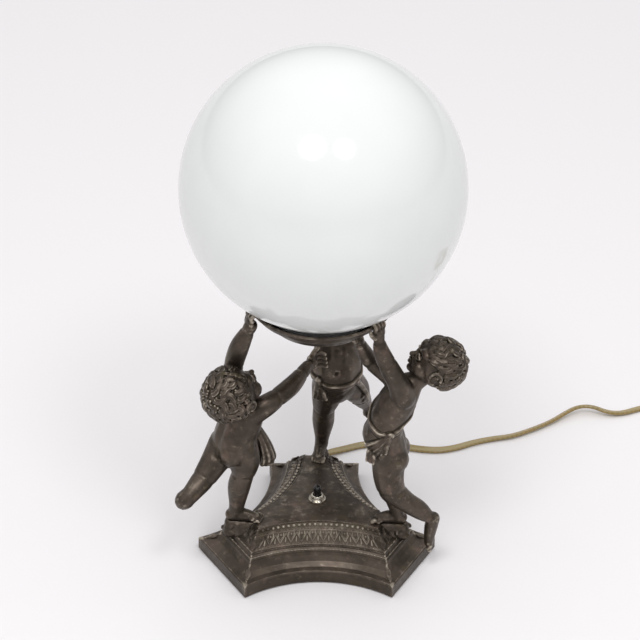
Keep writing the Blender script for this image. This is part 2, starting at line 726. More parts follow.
def model_flesh(skin, figure):
    """Presses the folds of a plump child's body: spine, seat, navel, wrists and knees."""
    front = Vector(figure["front"]).normalized()
    side = side_of(figure)
    torso = [Vector(s[:3]) for s in figure["torso"]]
    skin.press([p - front * 15 for p in torso[1:-1]], 5.0, 1.3)
    hips = torso[1]
    seat = (hips - front * 18 + UP * 5, hips - front * 17 - UP * 4, hips - front * 10 - UP * 15)
    skin.press(seat, 3.8, 1.3)
    for hand in (1, -1):
        out = side * hand
        fold = (hips + out * 4 - front * 11 - UP * 13.5, hips + out * 14 - front * 8 - UP * 12)
        skin.press(fold, 2.6, 1.1)
        groin = (hips + front * 12 - UP * 9 + out * 3, hips + front * 9 + UP * 2 + out * 15)
        skin.press(groin, 3.0, 1.1)
    chest = torso[3] + front * 15
    skin.press((chest + UP * 2, chest - UP * 8), 3.4, 0.8)
    skin.press((torso[2] + front * 16,), 2.6, 1.8)
    for spot in (-2, 2):
        for arm in ("raised_arm", "other_arm"):
            ring_groove(skin, figure[arm], spot, 1.9, 0.6)
    for leg in ("standing_leg", "free_leg"):
        ring_groove(skin, figure[leg], 2, 2.2, 0.5)


def ring_groove(skin, stations, spot, radius, depth):
    """A shallow crease right round a limb at one of its stations."""
    here = Vector(stations[spot][:3])
    before = Vector(stations[spot - 1][:3])
    along = (here - before).normalized()
    wide = along.orthogonal().normalized()
    deep = along.cross(wide)
    reach = stations[spot][3]
    ring = [here + (wide * cos(a) + deep * sin(a)) * reach for a in np.linspace(0, tau, 13)]
    skin.press(ring, radius, depth)


# --------------------------------------------------------------------- heads
def head_axes(figure):
    gaze = Vector(figure["gaze"]).normalized()
    crown = Vector(figure["crown"])
    crown = (crown - gaze * crown.dot(gaze)).normalized()
    return gaze, crown.cross(gaze), crown


def shape_head(figure):
    """A child's head on plain nursery proportions, with modelled wavy locks."""
    gaze, side, crown = head_axes(figure)
    centre = Vector(figure["head"])
    size = figure["head_size"]
    axes = (gaze, side, crown)

    def at(forward, sideways, up):
        return centre + (gaze * forward + side * sideways + crown * up) * size

    def lump(forward, sideways, up, radii, detail=2):
        ball(bm, at(forward, sideways, up), [r * size for r in radii], axes, detail)

    bm = bmesh.new()
    lump(-0.8, 0, 1.2, (17.6, 16.4, 17.0), 3)  # skull
    lump(5.6, 0, -5.0, (12.2, 12.6, 11.6), 3)  # face
    lump(8.6, 0, -12.0, (6.6, 6.6, 4.8))  # jaw
    lump(13.2, 0, -13.2, (3.6, 3.6, 3.0))  # chin
    for hand in (1, -1):
        lump(10.0, hand * 7.0, -7.2, (6.4, 5.6, 6.0))  # cheek
        lump(12.2, hand * 6.0, 4.4, (4.8, 6.0, 3.6))  # brow
    neck = Vector(figure["neck_base"])
    stroke(bm, clay((neck.lerp(centre, 0.35), neck.lerp(centre, 0.75)), 7.4, 8.2))
    skin = Skin(remeshed(bm, HEAD_GRAIN))
    skin.relax(14)
    for hand in (1, -1):
        skin.press((at(16.2, hand * 5.6, -0.8),), 4.8 * size, 2.4)
    bm = skin.reopened()
    add_face(bm, at, axes)
    add_locks(bm, figure, at)
    skin = Skin(remeshed(bm, HEAD_GRAIN))
    skin.relax(2, 0.35)
    for hand in (1, -1):
        skin.press((at(18.2, hand * 1.9, -5.6),), 0.9, 0.5)
    skin.press((at(18.4, -3.0, -8.6), at(19.2, 0, -8.4), at(18.4, 3.0, -8.6)), 0.9, 0.7)
    return skin.mark_relief(3, 4.0)


def add_face(bm, at, axes):
    """Calm, plain features of the maker's own: lids, small nose, lips and ears."""
    for hand in (1, -1):
        ball(bm, at(13.4, hand * 5.6, -1.0), 3.2)
        for line, radius in (
            ((at(15.4, hand * 3.4, -0.9), at(16.7, hand * 5.6, 0.9), at(15.0, hand * 8.0, -0.9)), 0.8),
            ((at(15.4, hand * 3.6, -1.4), at(16.1, hand * 5.6, -2.9), at(15.0, hand * 7.8, -1.5)), 0.6),
            ((at(16.4, hand * 2.6, 2.6), at(16.3, hand * 5.8, 4.0), at(13.8, hand * 9.4, 2.8)), 1.0),
        ):
            stroke(bm, clay(line, radius), share=0.5)
        ball(bm, at(17.2, hand * 1.8, -4.9), (1.4, 1.2, 1.1), axes)
        ear = [
            at(0.5 + 3.6 * cos(a), hand * (16.6 + 1.6 * sin(a / 2)), -2.6 + 5.0 * sin(a))
            for a in np.linspace(-1.9, 2.9, 9)
        ]
        stroke(bm, clay(ear, 1.25), share=0.4)
        ball(bm, at(0.6, hand * 15.6, -2.8), (3.2, 2.0, 4.4), axes)
    nose = (at(16.0, 0, 1.0), at(17.4, 0, -2.2), at(18.9, 0, -4.3))
    stroke(bm, clay(nose, 1.5, 1.6, 2.1), share=0.3)
    upper = (at(15.8, -3.4, -8.4), at(17.9, -1.1, -7.6), at(17.9, 1.1, -7.6), at(15.8, 3.4, -8.4))
    stroke(bm, clay(upper, 1.05), share=0.4)
    lower = (at(15.8, -2.6, -9.2), at(17.5, 0, -9.7), at(15.8, 2.6, -9.2))
    stroke(bm, clay(lower, 1.2), share=0.4)


FACE_DROP = radians(24)  # how far the face's own middle lies below the gaze
FACE_SHARE = 0.40  # the hairline, as a share of the skull's reach towards the face
SKULL = Vector((17.2, 16.6, 17.2))
WHORL = Vector((-0.45, 0.1, 0.9)).normalized()
LOCKS = 150
LOCK_STEPS = 9


def grows_hair(way):
    """True outside the face, the ears and the nape; way is in forward, side, up."""
    face = way.x * cos(FACE_DROP) - way.z * sin(FACE_DROP)
    if face > FACE_SHARE or way.z < -0.72:
        return False
    near_ear = abs(way.y) > 0.86 and -0.42 < way.z < 0.16 and way.x > -0.15
    under_jaw = way.z < -0.35 and way.x > -0.05
    return not (near_ear or under_jaw)


def add_locks(bm, figure, at):
    """Wavy locks that flow out from a whorl and end in hooked tips, each of three strands."""
    chance = Random(figure["curl"])
    for i in range(LOCKS):
        up = 1 - 2 * (i + 0.5) / LOCKS
        ring = sqrt(1 - up * up)
        angle = i * pi * (3 - sqrt(5))
        way = Vector((ring * cos(angle), ring * sin(angle), up))
        if not grows_hair(way):
            continue
        hand = chance.choice((1, -1))
        length = chance.uniform(0.50, 0.80)
        bend = chance.uniform(1.5, 2.3)
        lift = chance.uniform(0.2, 1.1)
        rows = ([], [], [])
        for k in range(LOCK_STEPS + 1):
            t = k / LOCK_STEPS
            fall = way - WHORL * way.dot(WHORL)
            fall = (fall - way * fall.dot(way)).normalized()
            across = way.cross(fall)
            turn = hand * (sin(t * bend * 2.2) * 0.9 + 2.3 * max(0.0, t - 0.55) * bend)
            step = fall * cos(turn) + across * sin(turn)
            row_side = way.cross(step)
            height = 0.1 + lift * sin(pi * min(1.0, t * 1.25)) + 0.8 * max(0.0, t - 0.7)
            for lane, row in zip((-1, 0, 1), rows):
                thick = (1.30 if lane == 0 else 1.10) * (1.12 - 0.60 * t)
                gap = lane * 1.50 * (1.0 - 0.72 * t)
                spot = Vector(way[n] * (SKULL[n] + height + (0.25 if lane == 0 else 0)) for n in range(3))
                spot += row_side * gap
                row.append((*at(spot.x - 0.8, spot.y, spot.z + 1.2), thick))
            way = (way + step * length / LOCK_STEPS).normalized()
        for row in rows:
            stroke(bm, row, detail=1, share=0.75)


# --------------------------------------------------------------------- cloth
def hugging(tree, points, lift):
    """Points moved onto the flesh below them, raised by the lift."""
    out = []
    for p in points:
        spot, normal, _, _ = tree.find_nearest(Vector(p))
        out.append(spot + normal * lift)
    return out


def torso_at(figure, height):
    """Centre and radius of the torso at a height, read between its stations."""
    stations = figure["torso"]
    for low, high in zip(stations, stations[1:]):
        if low[2] <= height <= high[2]:
            share = (height - low[2]) / (high[2] - low[2])
            return [a + (b - a) * share for a, b in zip(low, high)]
    raise ValueError(f"no torso at {height}")


def add_belt(bm, tree, figure, middle, swing, low_way, rolls=((0.0, 1.3), (2.0, 0.9))):
    """A twisted cloth belt laid round the torso, lowest towards one side."""
    low_way = Vector((*low_way, 0)).normalized()
    for drop, thick in rolls:
        ring = []
        for k in range(33):
            way = Vector((cos(tau * k / 32), sin(tau * k / 32), 0))
            x, y, z, radius = torso_at(figure, middle - swing * way.dot(low_way))
            ring.append(Vector((x, y, z - drop)) + way * (radius + 4))
        stroke(bm, clay(hugging(tree, ring, thick * 0.35), thick), share=0.5)


def add_folds(bm, tree, start, ends, bulge, thick, lift):
    """Cloth in long folds side by side from one place to a row of ends."""
    start = Vector(start)
    for k, end in enumerate(ends):
        end = Vector(end)
        shares = np.linspace(0, 1, 7)
        path = [start.lerp(end, t) + Vector(bulge) * sin(pi * t) for t in shares]
        path = [p.lerp(q, 0.75) for p, q in zip(path, hugging(tree, path, lift))]
        radii = [thick * (0.9 + 0.22 * sin(2.1 * k + 3.0 * t)) * (1.1 - 0.35 * t) for t in shares]
        stroke(bm, clay(path, *radii), share=0.4)


LEFT_BUNCH = (
    (-47.0, -12.5, 114.0, 3.2), (-42.5, -12.5, 104.0, 4.4), (-40.0, -12.0, 94.0, 6.2),
    (-39.5, -12.0, 88.0, 6.8), (-41.0, -11.5, 85.0, 5.6),
)


def left_extras(bm, tree):
    """Hand at the rim, arm round the rear figure's waist, cloth gathered in front."""
    rim_hand(bm, LEFT["raised_arm"])
    ball(bm, (-5.0, 21.5, 148.0), (4.6, 7.0, 5.2))
    for k in range(4):
        root = Vector((-4.2 + 0.5 * k, 26.5 - 0.4 * k, 151.5 - 3.3 * k))
        finger = (root, root + Vector((4.2, 2.6, -0.4)), root + Vector((8.6, 3.2, -2.4)))
        stroke(bm, clay(finger, 2.1, 2.1, 1.6), share=0.35)
    stroke(bm, ((-6.0, 20.0, 152.0, 2.4), (-3.2, 25.0, 155.0, 2.0), (-0.5, 29.0, 155.4, 1.6)), share=0.35)
    stroke(bm, LEFT_BUNCH, share=0.3)
    for k in range(5):
        lane = k - 2.0
        turn = 0.55 * lane - 0.6
        fold = [
            (x + (r - 0.2) * cos(turn), y + (r - 0.2) * sin(turn), z - 0.5 * i, 1.3 + 0.2 * i)
            for i, (x, y, z, r) in enumerate(LEFT_BUNCH)
        ]
        stroke(bm, fold, share=0.4)
    ball(bm, (-36.5, -15.5, 84.5), (4.2, 4.6, 2.9))
    ball(bm, (-38.5, -8.5, 83.8), (4.6, 4.6, 3.1))


def right_extras(bm, tree):
    """Both hands at the dish and a sash slung round the waist, knotted at the side."""
    rim_hand(bm, RIGHT["raised_arm"])
    wrist = Vector(RIGHT["other_arm"][-1][:3])
    add_hand(bm, wrist - UP * 3.4, (-0.2, 0.3, 0.9), (0.5, 0.85, 0.0), (-0.9, 0.3, 0.1), 0.2, 5.0)
    add_belt(bm, tree, RIGHT, 138.0, 10.0, (0.1, -1.0))
    knot = hugging(tree, [(50.5, -43.0, 127.5)], 0.8)[0]
    ball(bm, knot, (3.2, 2.6, 2.8))
    ends = [(47.5 - 3.2 * k, -44.0 + 0.9 * k, 112.5 - 2.0 * k + 0.5 * k * k) for k in range(6)]
    add_folds(bm, tree, knot, ends, (-0.5, -1.5, 0.5), 1.9, 1.2)
    for k in range(3):
        pleat = ((35.5 + 1.8 * k, -40.5 - k, 112.0 - k), (34.0 + 2.4 * k, -41.5 - k, 104.5 - 0.8 * k))
        stroke(bm, clay(pleat, 2.0, 1.2), share=0.4)


def rear_extras(bm, tree):
    """Both hands at the rim, a cloth belt under the belly, folds over both thighs."""
    rim_hand(bm, REAR["raised_arm"])
    rim_hand(bm, REAR["other_arm"])
    add_belt(bm, tree, REAR, 125.0, 9.0, (0.0, -1.0), ((0.0, 1.6), (2.4, 1.4), (4.6, 1.1)))
    ends = [(-5.5 + 2.3 * k, 38.5 - 0.3 * k, 101.5 + 1.2 * (k % 2)) for k in range(6)]
    add_folds(bm, tree, (0.5, 36.0, 122.0), ends, (-1.0, -1.5, 0.0), 2.1, 1.4)
    ends = [(38.0 - 2.2 * k, 58.0 + 2.6 * k, 89.0 - 1.2 * k) for k in range(6)]
    add_folds(bm, tree, (27.0, 41.0, 119.0), ends, (3.5, -3.0, 2.0), 2.1, 1.4)


class LAMP_OT_figures(bpy.types.Operator):
    """Model the three cast figures that hold up the dish"""

    bl_idname = "lamp.figures"
    bl_label = "Figures"

    def execute(self, context):
        for figure, extras in ((LEFT, left_extras), (RIGHT, right_extras), (REAR, rear_extras)):
            name = figure["name"]
            place_piece(f"figure_{name}", shape_figure(figure, extras), "spelter", (f"putto_{name}",))
            place_piece(f"head_{name}", shape_head(figure), "spelter")
        return {"FINISHED"}


# ---------------------------------------------------------------------- base
LOBES = (90, 210, 330)  # where the three lobes point, in degrees
# The base's outline by height: reach of a lobe, half its width, and how far out the hollow side stands.
TIERS = (
    (1.2, 82.6, 34.7, 52.7), (10.4, 82.6, 34.7, 52.7), (11.2, 81.8, 34, 52),
    (12.2, 78.2, 29.8, 48.6), (14.6, 74, 25.2, 44.9), (18.4, 71.3, 22.4, 42.3),
    (20.8, 70.6, 21.6, 41.5), (22.2, 69.5, 20.5, 40.6), (23.4, 68, 18.9, 39.4),
    (25.6, 67.3, 18.1, 38.7), (26.6, 65.8, 16.6, 37.4), (33.2, 60.8, 11.8, 31),
    (35, 58.6, 10.2, 28.8), (36.6, 57.4, 9.4, 26.6), (37.6, 55.6, 8.4, 24.2),
)


def tier_at(height):
    """Reach, half width and hollow of the base's outline at a height."""
    for low, high in zip(TIERS, TIERS[1:]):
        if height <= high[0]:
            share = (height - low[0]) / (high[0] - low[0])
            return [a + (b - a) * share for a, b in zip(low[1:], high[1:])]
    return list(TIERS[-1][1:])


def level_way(azimuth):
    return Vector((cos(radians(azimuth)), sin(radians(azimuth)), 0))


def lobe_corners(tier, lobe):
    """The two corners of the numbered lobe's straight end."""
    reach, half, _ = tier
    out = level_way(LOBES[lobe])
    side = Vector((-out.y, out.x, 0))
    return out * reach - side * half, out * reach + side * half


def hollow_point(tier, lobe, share):
    """A point on the curved side after the numbered lobe; share runs 0 to 1 along it."""
    start = lobe_corners(tier, lobe)[1]
    end = lobe_corners(tier, (lobe + 1) % 3)[0]
    out = level_way(LOBES[lobe] + 60)
    half_chord = (end - start).length / 2
    rise = (start + end).dot(out) / 2 - tier[2]
    radius = (half_chord**2 + rise**2) / (2 * rise)
    centre = out * (tier[2] + radius)
    a = atan2((start - centre).y, (start - centre).x)
    b = atan2((end - centre).y, (end - centre).x)
    angle = a + ((b - a + pi) % tau - pi) * share
    return centre + Vector((cos(angle), sin(angle), 0)) * radius


def on_slope(lobe, share, height, lift=0.0):
    """A point on the base's curved side at a height, lifted off the surface."""
    here = hollow_point(tier_at(height), lobe, share)
    beside = hollow_point(tier_at(height + 0.5), lobe, share)
    slope = Vector((beside.x - here.x, beside.y - here.y, 0.5)).normalized()
    along = hollow_point(tier_at(height), lobe, min(share + 0.01, 1.01)) - here
    normal = along.normalized().cross(slope)
    if normal.dot(level_way(LOBES[lobe] + 60) + UP * 0.2) < 0:
        normal = -normal
    return Vector((here.x, here.y, height)) + normal * lift


def base_levels():
    """Tier levels with extra ones close to each edge, so that edges can look rubbed."""
    levels = []
    for low, high in zip(TIERS, TIERS[1:]):
        for share in (0.0, 0.06, 0.5, 0.94) if high[0] - low[0] > 0.9 else (0.0, 0.5):
            levels.append([a + (b - a) * share for a, b in zip(low, high)])
    return levels + [list(TIERS[-1])]


def outline_points(tier):
    """The outline of one level: straight lobe ends and curved hollow sides."""
    points = []
    for lobe in range(3):
        a, b = lobe_corners(tier, lobe)
        points += [a.lerp(b, k / 16) for k in range(16)]
        points += [hollow_point(tier, lobe, k / 60) for k in range(60)]
    return points


def make_base_body():
    """The stepped base from its outline at each level, closed above and below."""
    bm = bmesh.new()
    rings = []
    for height, *tier in base_levels():
        rings.append(closed_ring(bm, [bm.verts.new((p.x, p.y, height)) for p in outline_points(tier)]))
    skinned(bm, rings, lambda bm, ring: bmesh.ops.triangle_fill(bm, edges=ring, use_beauty=True))
    mark_sharp(bm, 28)
    return bm


# Height, reach up and down, and how bright an edge of the base is rubbed, or how dark a band is.
RUBBED_EDGES = ((11.2, 0.35, 0.34), (10.4, 0.5, 0.16), (20.8, 0.5, -0.2), (37.6, 0.3, 0.2))
DIRTY_BANDS = ((30.0, 3.2, 0.20), (35.6, 1.3, 0.24), (24.6, 0.9, 0.16))
PLINTH_FACE = 10.0


def rub_base_edges(skin):
    """Marks the plinth's top edge, the corners and the step as rubbed bright."""
    height = skin.points[:, 2]
    relief = np.zeros(len(height))
    for level, reach, strength in RUBBED_EDGES:
        relief += strength * np.clip(1 - np.abs(height - level) / reach, 0, 1)
    relief[height < PLINTH_FACE] -= 0.15
    for middle, half, dirt in DIRTY_BANDS:
        relief -= dirt * np.clip(1.6 - np.abs(height - middle) / half, 0, 1)
    for lobe in range(3):
        for low, high in zip(TIERS, TIERS[1:]):
            for a, b in zip(lobe_corners(low[1:], lobe), lobe_corners(high[1:], lobe)):
                relief += 0.34 * skin.near(((a.x, a.y, low[0]), (b.x, b.y, high[0])), 1.3)
    store_value(skin.mesh, "relief", relief)


MOUND_BALLS = 30
MOUND_LUMPS = 40
MOUND_RIDGES = 64
MOUND_GRAIN = 0.5
MOUND_TOP = 3.6  # depth of the topmost balls' middles under the plate


def add_mound(bm, figure):
    """The rough lump of casting that carries a standing foot and runs down to the lobe."""
    heel, _, toe = (Vector(p[:3]) for p in figure["standing_foot"])
    plate = sizes().top_plate / MM
    chance = Random(figure["curl"] + 7)
    middle = (heel + toe) / 2
    away = Vector((middle.x, middle.y, 0)).normalized()
    side = UP.cross(away)
    lobe = max(range(3), key=lambda n: away.dot(level_way(LOBES[n])))
    part = bmesh.new()
    for k in range(MOUND_BALLS):
        spot = heel.lerp(toe, k / (MOUND_BALLS - 1)) + away * chance.uniform(-0.8, 0.8)
        drop = MOUND_TOP + 6.4 * (k % 3) / 2 + chance.uniform(-0.3, 0.5)
        spot += away * (drop - MOUND_TOP) * 0.44
        wide = chance.uniform(4.7, 6.2)
        ball(part, (spot.x, spot.y, plate - drop), (wide, wide, 4.8), detail=3)
    for _ in range(MOUND_LUMPS):
        height = chance.uniform(27.5, 35.0)
        a, b = lobe_corners(tier_at(height), lobe)
        spot = a.lerp(b, chance.uniform(0.08, 0.92)) * 0.97
        size = chance.uniform(1.5, 2.7)
        ball(part, (spot.x, spot.y, height - 0.6), (size, size, size * 0.8))
    for _ in range(MOUND_RIDGES):
        angle = radians(chance.uniform(-110, 110))
        way = away * cos(angle) + side * sin(angle)
        root = heel.lerp(toe, chance.uniform(-0.1, 1.1))
        start = Vector((root.x, root.y, 0)) + way * 3.7 + UP * (plate - chance.uniform(1.5, 9.0))
        drop = chance.uniform(1.5, 5.0)
        end = start + way * drop * 0.62 - UP * drop * 0.8
        middle = (start + end) / 2 + way * 0.2 + UP * 0.2
        thick = chance.uniform(1.0, 1.9)
        stroke(part, clay((start, middle, end), thick, thick * 1.15, thick * 0.7), detail=1, share=0.5)
    merge(bm, part)


def beads(bm, lobe, places, radius, detail):
    """Balls along a hollow side; places are share along it, height and lift."""
    part = bmesh.new()
    for share, height, lift in places:
        ball(part, on_slope(lobe, share, height, lift), radius, detail=detail)
    merge(bm, part)


def fillet(bm, lobe, height, lift, radius):
    thin_rod(bm, [on_slope(lobe, k / 40, height, lift) for k in range(41)], radius)


# Heights and radii of the rows of beads and their fillets.
PEARL_ROW = (35.7, 1.15)
PEARL_FILLETS = ((33.9, 0.36), (37.1, 0.34))
BEAD_LINE = (24.7, 0.5)
STEP_FILLETS = ((26.3, 0.40), (22.3, 0.34))
BEADS = 84


def add_pearl_row(bm, lobe):
    """Pearls in a hollow channel between two fine fillets."""
    height, radius = PEARL_ROW
    count = sizes().pearls
    beads(bm, lobe, [(0.03 + 0.94 * (k + 0.5) / count, height, 0.35) for k in range(count)], radius, 3)
    for height, radius in PEARL_FILLETS:
        fillet(bm, lobe, height, 0.05, radius)


LEAF_TEETH = 11
LEAF_LOW, LEAF_HIGH = 27.3, 32.2


def tooth_share(k):
    """Where the band's tooth k stands along the hollow side; halves lie between teeth."""
    return 0.05 + 0.90 * k / LEAF_TEETH


def add_leaf_tips(bm, lobe):
    """A band of pointed leaf tips: nested zig-zag ridges with a drop inside each point."""
    for lift, shrink, radius in ((0.25, 0.0, 0.52), (0.1, 1.5, 0.30)):
        ends = (LEAF_LOW + shrink, LEAF_HIGH + shrink * 0.5)
        ridge = [on_slope(lobe, tooth_share(k / 2), ends[k % 2], lift) for k in range(2 * LEAF_TEETH + 1)]
        thin_rod(bm, ridge, radius)
    for k in range(LEAF_TEETH):
        share = tooth_share(k + 0.5)
        strokes = [((share, 27.6, 0.25, 0.95), (share, 30.0, 0.25, 0.45))]
        for hand in (1, -1):
            spot = share + hand * 0.225 / LEAF_TEETH
            strokes.append(((spot, 32.6, 0.1, 0.45), (spot, 31.0, 0.2, 0.6)))
        for ends in strokes:
            line = [(*on_slope(lobe, *place), radius) for *place, radius in ends]
            stroke(bm, line, detail=1, share=0.6)
    beads(bm, lobe, [(tooth_share(k), 31.6, 0.3) for k in range(LEAF_TEETH + 1)], 0.85, 2)


def add_bead_line(bm, lobe):
    """Fine beading on the narrow step, and the fillets under the leaf band."""
    height, radius = BEAD_LINE
    beads(bm, lobe, [(0.02 + 0.96 * k / (BEADS - 1), height, 0.05) for k in range(BEADS)], radius, 1)
    for height, radius in STEP_FILLETS:
        fillet(bm, lobe, height, 0.0, radius)


def add_corner_leaf(bm, lobe, hand, height, size):
    """A curled leaf lying over a corner of a lobe, with ribs fanning from its root."""
    top = height + size * 0.8
    corner, above = (lobe_corners(tier_at(level), lobe)[hand > 0] for level in (height, top))
    root = Vector((corner.x, corner.y, height))
    climb = Vector((above.x, above.y, top)) - root
    out = Vector((corner.x, corner.y, 0)).normalized()
    along = UP.cross(out)
    for k in range(5):
        tip = root + climb * (1.0 - 0.12 * abs(k - 2)) + along * (k - 2) * size * 0.16
        middle = root.lerp(tip, 0.5) - out * 0.2 + along * (k - 2) * 0.25
        stroke(bm, clay((root, middle, tip), 0.9, 0.95, 0.5), detail=1, share=0.5)
    ball(bm, root + out * 0.2, (1.3, 1.3, 1.1))
    ball(bm, root + climb, (0.9, 0.9, 0.8))


MOULD_LINES = (22.3, 25.8)


def add_lobe_end(bm, lobe):
    """Two straight mould lines across a lobe's end and soft leaf lumps on its slope."""
    for height in MOULD_LINES:
        a, b = (Vector((p.x, p.y, height)) for p in lobe_corners(tier_at(height), lobe))
        thin_rod(bm, [a.lerp(b, k / 8) for k in range(9)], 0.42)
    chance = Random(40 + lobe)
    for _ in range(46):
        height = chance.uniform(27.0, 35.5)
        a, b = lobe_corners(tier_at(height), lobe)
        spot = a.lerp(b, chance.uniform(0.0, 1.0))
        lump = Vector((spot.x, spot.y, height))
        rise = Vector((-spot.x, -spot.y, 75)).normalized() + (b - a).normalized() * chance.uniform(-0.6, 0.6)
        tip = lump + rise * chance.uniform(1.4, 3.4)
        thick = chance.uniform(0.5, 0.9)
        stroke(bm, clay((lump - UP * 0.3, tip), thick, thick * 0.6), detail=1, share=0.6)


# Lowest and highest height of a band of ornament, and how bright it is rubbed.
RUBBED_BANDS = ((34.5, 37.0, 0.60), (27.2, 32.9, 0.40))
PLAIN_RUB = 0.30
LOBE_END_RUB = 0.20


def rub_ornament(mesh):
    """Rubs the pearls, the leaf band and the mould lines brightest, and the lobes' ends least."""
    points = read_points(mesh, "co")
    heights = points[:, 2]
    relief = np.full(len(heights), PLAIN_RUB)
    for low, high, strength in RUBBED_BANDS:
        relief[(heights > low) & (heights < high)] = strength
    lobe_ways = np.array([level_way(a).xy for a in LOBES])
    facing = (points[:, :2] @ lobe_ways.T).max(axis=1) / np.hypot(*points[:, :2].T)
    corner = lobe_corners(tier_at(30.0), 0)[0].xy.normalized()
    relief[facing > corner.dot(lobe_ways[0]) - 0.012] = LOBE_END_RUB
    for level, strength in zip(MOULD_LINES, (0.48, 0.52)):
        relief[np.abs(heights - level) < 0.35] = strength
    store_value(mesh, "relief", relief)


class LAMP_OT_base(bpy.types.Operator):
    """Build the stepped base with its mouldings, pearls and leaf band"""

    bl_idname = "lamp.base"
    bl_label = "Base"

    def execute(self, context):
        body = Skin(mesh_of(make_base_body()))
        rub_base_edges(body)
        place_piece("base_body", body.mesh, "spelter", ("base_casting",))
        bm = bmesh.new()
        for lobe in range(3):
            add_pearl_row(bm, lobe)
            add_leaf_tips(bm, lobe)
            add_bead_line(bm, lobe)
            add_lobe_end(bm, lobe)
            for hand in (1, -1):
                add_corner_leaf(bm, lobe, hand, 12.6, 5.2)
                add_corner_leaf(bm, lobe, hand, 26.8, 6.0)
        trim = mesh_of(bm)
        rub_ornament(trim)
        place_piece("base_ornament", trim, "spelter")
        bm = bmesh.new()
        for figure in (LEFT, RIGHT, REAR):
            add_mound(bm, figure)
        mounds = Skin(remeshed(bm, MOUND_GRAIN))
        mounds.relax(5, 0.45)
        mounds.points[:, 2] = np.minimum(mounds.points[:, 2], sizes().top_plate / MM)
        place_piece("foot_mounds", mounds.mark_relief(3, 2.6), "spelter")
        return {"FINISHED"}


# ------------------------------------------------------------- dish and globe
DISH_OUTLINE = (
    (5, 199.2), (30, 199.2), (34, 199.7), (37.4, 201.5), (39.2, 204.2), (41.6, 206.6), (45.2, 208.8),
    (48.6, 211.8), (50.6, 215), (51.7, 216.8), (53, 217.2), (53.6, 218), (53.4, 219), (52.5, 219.5),
    (51.4, 219.2), (50.2, 217), (48, 213.4), (44.6, 210), (37.2, 210), (36.4, 207.2), (33, 203),
    (29, 201.6), (5, 201.6),
)


class LAMP_OT_dish(bpy.types.Operator):
    """Turn the shallow dish with its rolled rim"""

    bl_idname = "lamp.dish"
    bl_label = "Dish"

    def execute(self, context):
        skin = Skin(mesh_of(turned(DISH_OUTLINE, 128)))
        place_piece("dish_shell", skin.mark_relief(1, 2.0), "dish_patina", ("globe_dish",))
        return {"FINISHED"}


GLOBE_WALL = 3.2
NECK_RADIUS = 41.3
NECK_FOOT = 211.0


class LAMP_OT_globe(bpy.types.Operator):
    """Blow the opal globe: an even ball with a short straight neck"""

    bl_idname = "lamp.globe"
    bl_label = "Opal globe"

    def execute(self, context):
        radius = sizes().globe_radius / MM
        middle = sizes().globe_height / MM
        bore = NECK_RADIUS - GLOBE_WALL - 0.3
        outline = [
            (bore, NECK_FOOT + 0.5), (bore + 0.6, NECK_FOOT), (NECK_RADIUS - 0.6, NECK_FOOT),
            (NECK_RADIUS, NECK_FOOT + 0.6),
        ]
        for sphere, neck, order in ((radius, NECK_RADIUS, 1), (radius - GLOBE_WALL, bore, -1)):
            start = -acos(neck / sphere)
            arc = [start + (pi / 2 - start) * k / 72 for k in range(73)]
            side = [(max(sphere * cos(a), 0.0), middle + sphere * sin(a)) for a in arc]
            outline += side[::order]
        place_piece("globe_ball", mesh_of(turned(outline, 192)), "opal", ("opal_globe",), "globe")
        return {"FINISHED"}


# -------------------------------------------------------------------- switch
# Outlines by radius and height over the base's top plate.
RING_TOP = (
    (5.05, 0), (6.7, 0), (6.75, 0.9), (6.5, 1.7), (6, 2.2), (5.7, 2.4), (5.6, 2.9), (5.3, 3.2), (5.05, 3.2),
)
COLLAR_TOP = ((5, 3.3), (4.8, 4.2), (4.3, 4.9), (3.7, 5.2), (3.2, 5.2), (3.05, 5))


class LAMP_OT_switch(bpy.types.Operator):
    """Turn the nickel ring, the collar and the black push button"""

    bl_idname = "lamp.switch"
    bl_label = "Push switch"

    def execute(self, context):
        plate = sizes().top_plate / MM
        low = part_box("switch_bushing")[0].z / MM
        ring = [(r, plate + z) for r, z in RING_TOP]
        collar = [(3.05, low), (5.0, low)] + [(r, plate + z) for r, z in COLLAR_TOP]
        low, high = (corner.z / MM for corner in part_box("switch_plunger"))
        button = [
            (0.0, low), (3.9, low), (3.9, low + 1.2), (2.7, low + 1.2), (2.7, plate + 5.4),
            (2.8, plate + 6.0), (2.8, high - 1.5), (2.62, high - 0.8), (2.1, high - 0.25), (1.2, high),
            (0.0, high),
        ]
        place_piece("switch_ring", mesh_of(turned(ring, 64, 0.12)), "nickel", ("switch_ring_nut",))
        place_piece("switch_collar", mesh_of(turned(collar, 64, 0.1)), "nickel", ("switch_bushing",))
        place_piece("switch_button", mesh_of(turned(button, 48)), "phenolic", ("switch_plunger",), "plunger")
        return {"FINISHED"}


# ---------------------------------------------------------------------- cord
# The cord's route on the table, in millimetres, from its bushing to the plug.
FREE_ROUTE = (
    (4, 85.4, 5.6), (4, 94.4, 5.6), (7.7, 102.35, 4.4), (14.6, 108, 2.6), (24, 112.4, 1.6),
    (37.5, 118, 1.5), (50.5, 119.8, 1.5), (66, 117.3, 1.5), (83, 112.3, 1.5), (99, 110.8, 1.5),
    (113, 114.5, 1.5), (128, 122.5, 1.5), (143, 127.2, 1.5), (158, 130, 1.5),
    (174, 138.3, 1.5), (191.5, 149.5, 1.6), (204, 159.5, 3.4), (214.5, 165.2, 5.4),
    (226, 165, 5.4), (236.5, 160.4, 3.2), (248.5, 161, 1.6), (262, 167.5, 1.5),
    (277, 173.6, 1.5), (292, 177.6, 1.5), (306.5, 179, 1.5), (321.4, 179, 1.5),
)
TAIL_ROUTE = ((364, 170.5, 7.2), (377.5, 158.5, 6.8), (384.5, 142.5, 6.5), (386, 127, 6.5))
COIL_CENTRE = (327.0, 136.0)
